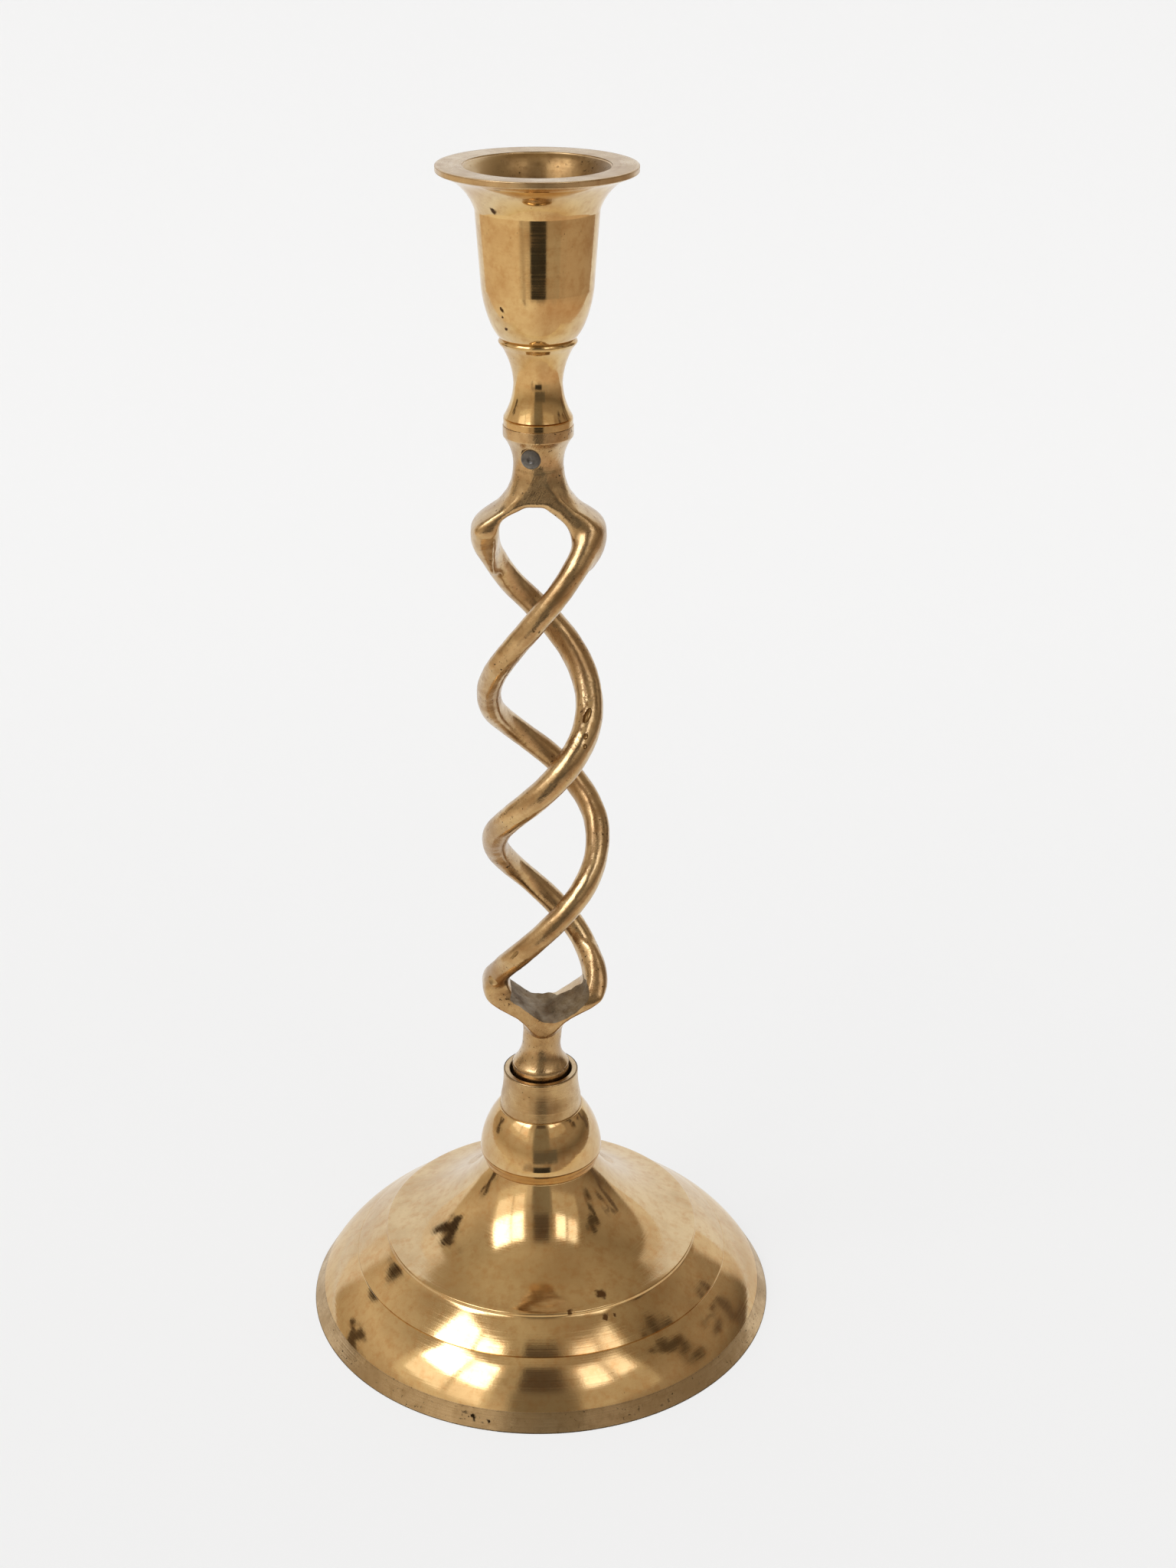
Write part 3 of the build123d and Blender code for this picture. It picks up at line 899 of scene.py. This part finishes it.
def yoke(name, outline, root, corner, blocks, deep=1.0):
    """Turn a shoulder, file it flat in front and behind through (depth, height) at the root and at
    the corner, and take blocks out of it. A deep shoulder is thicker from front to back than wide."""
    piece = turn_piece(name, outline, 128)
    bpy.ops.object.mode_set(mode="EDIT")
    bpy.ops.mesh.select_all(action="SELECT")
    bpy.ops.transform.resize(value=(1, deep, 1), center_override=(0, 0, 0))
    bpy.ops.object.mode_set(mode="OBJECT")
    lean = (root[0] - corner[0]) / (root[1] - corner[1])
    low, high = root[1] - 36, root[1] + 36
    for side in (-1, 1):
        flat = [(-25, side * (root[0] + lean * (z - root[1])), z) for z in (low, high)]
        waste = [*flat, (-25, side * 30, high), (-25, side * 30, low)]
        cut(piece, prism(name + "_file", waste, (50, 0, 0)))
    for corners, push in blocks:
        cut(piece, prism(name + "_block", corners, push))
    return piece


upper_arch = [
    (1.2, 208.2), (2.6, 206.9), (4.2, 205.6), (5.8, 204.3), (6.7, 202.6), (7.2, 200.5), (7.6, 186),
    (-9.8, 186), (-9.2, 194), (-8.6, 200), (-8.5, 203.4), (-8.2, 204.8), (-6.6, 206.0), (-4.4, 207.2),
    (-2.8, 208.2)]
upper_yoke = yoke("upper_yoke", [
    (0, 216.6), (5.5, 216.6), (5.6, 214.6), (6.1, 212.6), (7.0, 210.5), (8.6, 208.4), (9.6, 207.4),
    (11.2, 206.3), (12.6, 205.3), (13.9, 204.3), (14.8, 203.2), (15.1, 202.0), (15.1, 200.2),
    (14.6, 197.4), (13.6, 195.4), (12.6, 193.0), (11.4, 189.6), (0, 189.6),
], (5.35, 217), (6.1, 203), [
    front_block(upper_arch),
    side_block([(-12, 193), (-4.6, 193.3), (6.6, 203.4), (12, 203.4), (12, 186), (-12, 186)], RIGHT),
    side_block([(4.0, 188.4), (-6.3, 202.2), (-12, 202.2), (-12, 186), (4.0, 186)], LEFT),
])
lower_arch = [(-8.6, 102), (-8.6, 89.6), (-7.6, 87.6), (-1.0, 82.6), (2.4, 82.2), (9.4, 87.6),
              (10.2, 89.6), (10.2, 102)]
lower_yoke = yoke("lower_yoke", [
    (0, 75.0), (3.7, 75.0), (4.3, 76.1), (5.0, 77.4), (6.1, 79.3), (7.7, 81.0), (9.7, 82.4),
    (11.8, 83.7), (13.5, 85.0), (14.5, 86.2), (15.1, 88.0), (15.1, 90.0), (14.6, 92.2),
    (13.6, 94.2), (12.4, 96.4), (0, 96.4),
], (5.7, 75.6), (6.0, 88), [
    side_block([(4.4, 96.8), (-6.4, 85.8), (-12, 85.8), (-12, 102), (4.4, 102)], RIGHT),
    side_block([(-3.6, 96.8), (6.4, 86.2), (12, 86.2), (12, 102), (-3.6, 102)], LEFT),
    front_block(lower_arch),
], deep=1.3)
print("yokes", len(upper_yoke.data.polygons), "and", len(lower_yoke.data.polygons), "faces")

# %% [markdown]
# ## The casting
# Yokes and strands are one casting, so they flow into each other without a seam. A Boolean union
# would leave a hard line round every joint. Here they are joined, remeshed into one skin of fine
# voxels and smoothed, most of all where the strands meet the yokes. Clouds then push the skin in and
# out a little, as on metal that was filed by eye. The lower end leans to the right, as the real one.

# %% Casting
def lean_right(piece):
    """Let a piece lean to the right from the lower neck up to the lower yoke."""
    lean, start, rise = 1.1, 69, 14
    for vertex in piece.data.vertices:
        vertex.co.x += MM * lean * min(1, max(0, (vertex.co.z / MM - start) / rise))


def roughen(piece, waves):
    """Push the surface in and out by clouds of these sizes and depths, in mm."""
    for size, depth in waves:
        cloud = bpy.data.textures.new("casting_waves", "CLOUDS")
        cloud.noise_scale = size * MM
        apply_modifier(piece, "DISPLACE", texture=cloud, texture_coords="LOCAL", strength=depth * MM)


lean_right(lower_yoke)
casting = upper_yoke
pick(casting)
for piece in (lower_yoke, *strands):
    piece.select_set(True)
bpy.ops.object.join()
casting.name = casting.data.name = "twist_stem_casting"
apply_modifier(casting, "REMESH", mode="VOXEL", voxel_size=0.4 * MM)
apply_modifier(casting, "SMOOTH", factor=0.5, iterations=12)

upper_fillet_z, upper_reach, lower_fillet_z, lower_reach = 197, 12, 91.5, 8
fillets = casting.vertex_groups.new(name="fillets")
for vertex in casting.data.vertices:
    z = vertex.co.z / MM
    share = max(0, 1 - abs(z - upper_fillet_z) / upper_reach, 1 - abs(z - lower_fillet_z) / lower_reach)
    fillets.add([vertex.index], min(1, 1.6 * share), "REPLACE")
apply_modifier(casting, "SMOOTH", factor=0.5, iterations=90, vertex_group="fillets")
roughen(casting, ((9, 0.35), (2.6, 0.1)))
casting.data.materials.clear()
casting.data.materials.append(filed_brass)
print("casting", len(casting.data.vertices), "vertices", len(casting.data.polygons), "faces")

# %% [markdown]
# ## The necks
# Above and below the yokes the casting was put on a lathe, so its necks are true turnings. They stay
# out of the remesh, which would blur their flange and bell, and are united with the casting
# afterwards. The filed flats of the upper yoke run a little way up its neck.

# %% Necks
neck_flange_r, neck_flange_z, bell_r, bell_z = 7.65, 223.0, 6.9, 66.4
upper_neck = turn_piece("upper_neck", [
    (stud_hole_r, 212.0), (6.15, 212.0), (5.45, 216.4, 0.12), (7.2, 222.4, 0.5),
    (neck_flange_r, neck_flange_z), (neck_flange_r, cup_z), (stud_hole_r, cup_z),
], 128)
soften_ring(upper_neck, neck_flange_r, cup_z, 0.1)
soften_ring(upper_neck, neck_flange_r, neck_flange_z, 0.15)
for side in (-1, 1):
    filed_off = [(-25, side * 5.35, 216.9), (-25, side * 5.62, 212.0), (-25, side * 30, 205.0),
                 (-25, side * 30, 216.9)]
    cut(upper_neck, prism("neck_file", filed_off, (50, 0, 0)))
lower_neck = turn_piece("lower_neck", [
    (stud_hole_r, 60.0), (bell_r, 60.0), (bell_r, bell_z), (4.62, 72.6, 0.7), (4.66, 75.4),
    (4.95, 77.2), (stud_hole_r, 77.2),
], 128)
soften_ring(lower_neck, bell_r, bell_z, 0.5)
lean_right(lower_neck)
for neck in (upper_neck, lower_neck):
    neck.data.materials.append(filed_brass)
    cut(casting, neck, "UNION")
print("casting with necks", len(casting.data.polygons), "faces")

# %% [markdown]
# ## The trough
# Inside the lower yoke a file could not reach, so the metal between its arms is a rough grey trough,
# which slopes down to the front right. It is cut by a block that was roughened first, so the trough
# is the print of a rough surface, and the block's own finish stays on the cut. The chin in front of
# it was filed flat.

# %% Trough
chin = [(-25, -5.5, 75.0), (-25, -5.9, 88), (-25, -30, 88), (-25, -30, 75.0)]
cut(casting, prism("chin_file", chin, (50, 0, 0)))
trough = [(-5.0, 92.6), (-8.4, 88.6), (-8.6, 87.2), (-6.0, 85.0), (-3.2, 82.6), (-0.8, 81.0),
          (2.0, 80.6), (4.6, 82.0), (7.4, 84.4), (9.8, 86.8), (10.8, 89), (10.2, 92.0), (6.0, 93.6)]
scoop = prism("scoop", [(x - 2.0, 7.5, z + 1.05) for x, z in trough], (4.6, -17.5, -2.45))
apply_modifier(scoop, "REMESH", mode="VOXEL", voxel_size=0.5 * MM)
apply_modifier(scoop, "SMOOTH", factor=0.5, iterations=4)
roughen(scoop, ((4, 0.7), (1.4, 0.25)))
scoop.data.materials.clear()
scoop.data.materials.append(raw_brass)
cut(casting, scoop)
print("casting with its trough", len(casting.data.polygons), "faces")

# %% [markdown]
# ## Flaws of the casting
# The casting was never perfect: on the right-hand strand there is a slot where the metal did not
# fill, with two pits below it, and the left lower corner has a crack and a dimple. They are pressed
# in with stretched balls, each cut out of the casting by itself, because tools that overlap confuse
# a Boolean.

# %% Flaws
flaws = [
    # place, direction and half sizes in mm: the slot and its two pits
    ((10.75, -5.3, 159.5), (0.35, 0.6, 0.7), (0.8, 0.9, 2.0)),
    ((10.35, -8.7, 155.95), (0.3, 0.5, 0.8), (0.5, 0.6, 0.8)),
    ((10.15, -9.95, 154.05), (0.3, 0.5, 0.8), (0.45, 0.5, 0.6)),
    # the two legs of the crack, and the dimple
    ((-6.0, -13.3, 102.9), (0.6, -0.2, 0.75), (0.4, 0.5, 1.5)),
    ((-6.9, -12.9, 101.9), (0.75, -0.2, 0.2), (0.3, 0.45, 0.8)),
    ((-11.5, -7.3, 92.2), (0, 0, 1), (1.5, 1.2, 1.8)),
]
for place, along, half_sizes in flaws:
    bpy.ops.object.select_all(action="DESELECT")
    bpy.ops.mesh.primitive_ico_sphere_add(subdivisions=3, radius=MM)
    ball = bpy.context.object
    ball.scale = half_sizes
    ball.rotation_euler = Vector(along).to_track_quat("Z", "Y").to_euler()
    ball.location = Vector(place) * MM
    bpy.ops.object.transform_apply(location=True, rotation=True, scale=True)
    ball.data.materials.append(tarnished_brass)
    cut(casting, ball)
print(len(flaws), "flaws cut, casting has", len(casting.data.polygons), "faces")

# %% [markdown]
# ## The lock pin
# A steel pin through the upper neck locks the cup's stud. Its end was peened over with a punch, so it
# is a low dome with a pit, in a hole with a broken edge. Hole and pin are turned upright and then
# laid on their side, pointing out to the left of the front.

# %% Lock pin
pin_z, pin_turn, pin_r, pin_head_r, pin_end = 219.0, -17.0, 2.0, 2.2, 5.5
hole_r, hole_mouth_r = 2.3, 2.7


def lay_down(piece):
    """Lay a piece that was turned upright on its side, along the pin's hole."""
    piece.rotation_euler = (math.radians(90), 0, math.radians(pin_turn))
    piece.location = (0, 0, pin_z * MM)
    pick(piece)
    bpy.ops.object.transform_apply(location=True, rotation=True, scale=True)


hole = turn_piece("pin_hole", [
    (0, pin_end), (hole_r, pin_end), (hole_mouth_r, 6.2), (hole_mouth_r, 9.0), (0, 9.0)], 48)
lay_down(hole)
hole.data.materials.append(worn_brass)
cut(casting, hole)
pin = turn_piece("peened_lock_pin", [
    (0, 1.9), (pin_r, 1.9), (pin_head_r, pin_end), (1.9, 5.78, -0.06), (0.8, 5.95, -0.03),
    (0.45, 5.72), (0, 5.64),
], 48)
lay_down(pin)
pin.data.materials.append(grey_steel)
smooth(pin)
stands_for(pin, "lock_pin", "column")

# %% [markdown]
# The pin's hole was the last cut, so the casting can now be shaded and stand for the stem.

# %% Finished stem
smooth(casting, 40)
stands_for(casting, "twist_stem", "column")

# %% [markdown]
# ## The base stud
# The base stud has a quarter-inch thread. A thread can be a stack of rings, but a real one climbs, so
# its ridge is drawn once as a small closed outline and swept upwards by a Screw modifier.

# %% Base stud
thread_pitch, thread_r, root_r, end_r = 1.27, 3.15, 2.55, 2.3
stud_low, stud_high, thread_margin = 25.5, 70.0, 0.6
stud = turn_piece("threaded_base_stud", [
    (0, stud_low), (end_r, stud_low), (root_r, stud_low + 0.3), (root_r, stud_high - 0.3),
    (end_r, stud_high), (0, stud_high),
], 48)
sunk_r, ridge_z = root_r - 0.2, stud_low + thread_margin
ridge = drawn_line("thread_ridge", [Vector((r, 0, ridge_z + z)) * MM for r, z in (
    (sunk_r, 0.0), (thread_r, 0.42), (thread_r, 0.6), (sunk_r, 1.02), (sunk_r, 0.0))])
bpy.ops.mesh.remove_doubles(threshold=1e-6)
bpy.ops.object.mode_set(mode="OBJECT")
turns = int((stud_high - stud_low - thread_margin - 1.3) / thread_pitch)
apply_modifier(ridge, "SCREW", axis="Z", screw_offset=thread_pitch * MM, iterations=turns, steps=32,
               render_steps=32, use_merge_vertices=True)
bpy.ops.object.mode_set(mode="EDIT")
bpy.ops.mesh.select_all(action="SELECT")
bpy.ops.mesh.fill_holes(sides=8)
bpy.ops.mesh.normals_make_consistent(inside=False)
bpy.ops.object.mode_set(mode="OBJECT")
pick(stud)
ridge.select_set(True)
bpy.ops.object.join()
stud.data.materials.append(grey_steel)
smooth(stud)
stands_for(stud, "base_stud", "base")

# %% [markdown]
# ## The base nut
# The nut starts as a six-sided prism. A bolt maker turns both its faces to a chamfer, so it is cut by
# a turned body, which leaves the curved edges of a real nut.

# %% Base nut
nut_low, nut_high, nut_across, nut_hole_r, chamfer = 28.0, 33.5, 11.1, 3.2, 0.55
nut_corner = nut_across / 2 / math.cos(math.pi / 6)
face_r, blank_r = nut_across / 2 - 0.1, nut_corner + 0.1
corners = [(nut_corner * math.cos(math.pi * i / 3), nut_corner * math.sin(math.pi * i / 3), nut_low)
           for i in range(6)]
nut = prism("chamfered_base_nut", corners, (0, 0, nut_high - nut_low))
cut(nut, turn_piece("nut_chamfer", [
    (0, nut_low), (face_r, nut_low), (blank_r, nut_low + chamfer), (blank_r, nut_high - chamfer),
    (face_r, nut_high), (0, nut_high),
], 96), "INTERSECT")
cut(nut, turn_piece("nut_hole", [
    (0, nut_low - 1), (nut_hole_r + 0.5, nut_low - 1), (nut_hole_r + 0.5, nut_low),
    (nut_hole_r, nut_low + 0.5), (nut_hole_r, nut_high + 1), (0, nut_high + 1),
], 48))
nut.data.materials.clear()
nut.data.materials.append(grey_steel)
smooth(nut, 25)
stands_for(nut, "base_nut", "base")

# %% [markdown]
# ## The washers
# Both washers are turned rings: the steel one is punched from sheet, so its edges are broken, and the
# dark one bulges where the stem squeezes it. Its near-black colour is painted shade for the gap in the
# collar's mouth.

# %% Washers
washer_hole_r, washer_r, packing_r, packing_z = 3.5, 7.0, 6.95, 60.0
steel_washer = turn_piece("punched_base_washer", [
    (washer_hole_r, nut_high), (washer_r, nut_high), (washer_r, crown_under_z),
    (washer_hole_r, crown_under_z)], 96)
for r, z in ((washer_r, nut_high), (washer_r, crown_under_z), (washer_hole_r, nut_high)):
    soften_ring(steel_washer, r, z, 0.25)
steel_washer.data.materials.append(grey_steel)
smooth(steel_washer)
stands_for(steel_washer, "base_washer", "base")
dark_washer = turn_piece("dark_packing_washer", [
    (washer_hole_r, recess_z), (packing_r, recess_z), (packing_r, packing_z, -0.25),
    (washer_hole_r, packing_z)], 96)
# Near black: painted shade for the gap round the stem's bell.
dark_washer.data.materials.append(near_black_painted_shade)
smooth(dark_washer)
stands_for(dark_washer, "packing_washer", "packing")

# %% [markdown]
# ## The cup stud
# The stud between the stem and the cup is hidden all round, so its CAD mesh is kept and only gets the
# steel.

# %% Cup stud
cup_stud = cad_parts["cup_stud"].data
cup_stud.materials.clear()
cup_stud.materials.append(grey_steel)
print("cup stud in", grey_steel.name)

# %% [markdown]
# ## View and sizes
# The Standard view shows a colour as it is written. The box round the pieces that are shown is printed.

# %% View and sizes
bpy.context.scene.view_settings.view_transform = "Standard"
low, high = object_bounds()
print("visual box", [round(v / MM, 2) for v in (*low, *high)], "mm")
